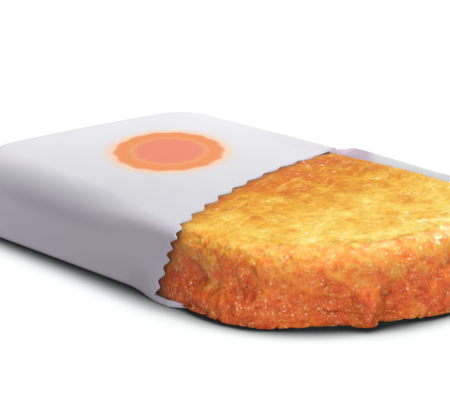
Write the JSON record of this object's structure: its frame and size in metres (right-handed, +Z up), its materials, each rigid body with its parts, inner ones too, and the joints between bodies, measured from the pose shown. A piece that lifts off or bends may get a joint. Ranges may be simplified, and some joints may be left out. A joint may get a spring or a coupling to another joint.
{
  "type": "hash browns",
  "caption": "Oval patty of pressed, deep-fried shredded potato lying in a flat white paper sleeve, its slanted mouth cut with pinked teeth and its top printed with a plain orange rosette.",
  "frame": {"origin": "middle of the footprint of the whole, on the surface that the sleeve lies on", "axes": "+X along the patty towards its free end, -Y towards the side whose wall is cut back, +Z up"},
  "size_m": [0.1213, 0.072, 0.0176],
  "materials": {
    "fried_potato": "crisp, oily and mottled, golden on top and browner round the side",
    "white_paper": "smooth and slightly waxy, with a soft-edged orange spot on the top"
  },
  "bodies": {
    "root": {"hash_brown": "fried_potato", "paper_sleeve": "white_paper"}
  },
  "joints": []
}
